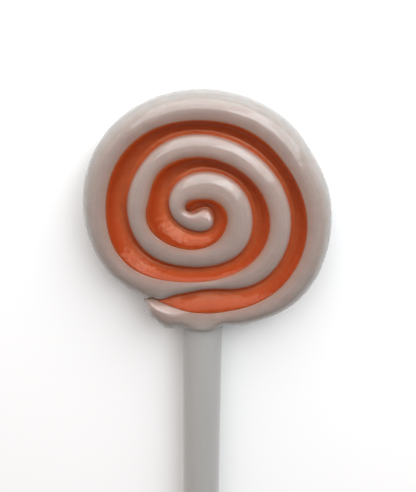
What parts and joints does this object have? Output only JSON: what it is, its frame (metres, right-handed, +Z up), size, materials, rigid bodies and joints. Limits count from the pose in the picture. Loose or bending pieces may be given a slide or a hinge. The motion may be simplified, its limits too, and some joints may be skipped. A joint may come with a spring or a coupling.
{
  "type": "swirl lollipop",
  "caption": "Swirl lollipop: a white and an orange sugar rope wound side by side into a ridged round head with a flat back, on a straight paper stick.",
  "frame": {"origin": "on the floor, under the middle of the head, on the flat back of the white rope's inner turn", "axes": "+Z up, out of the swirl's ridged side; +Y along the stick from its free end towards the head; +X to the right, seen from above with the stick towards the viewer"},
  "size_m": [0.0449, 0.1288, 0.0096],
  "materials": {
    "white_sugar": "smooth glossy boiled sugar, opaque greyish pink-white",
    "orange_sugar": "smooth glossy boiled sugar, opaque deep orange",
    "stick_paper": "tightly rolled smooth white paper"
  },
  "bodies": {
    "root": {"white_rope": "white_sugar", "orange_rope": "orange_sugar", "stick": "stick_paper"}
  },
  "joints": []
}
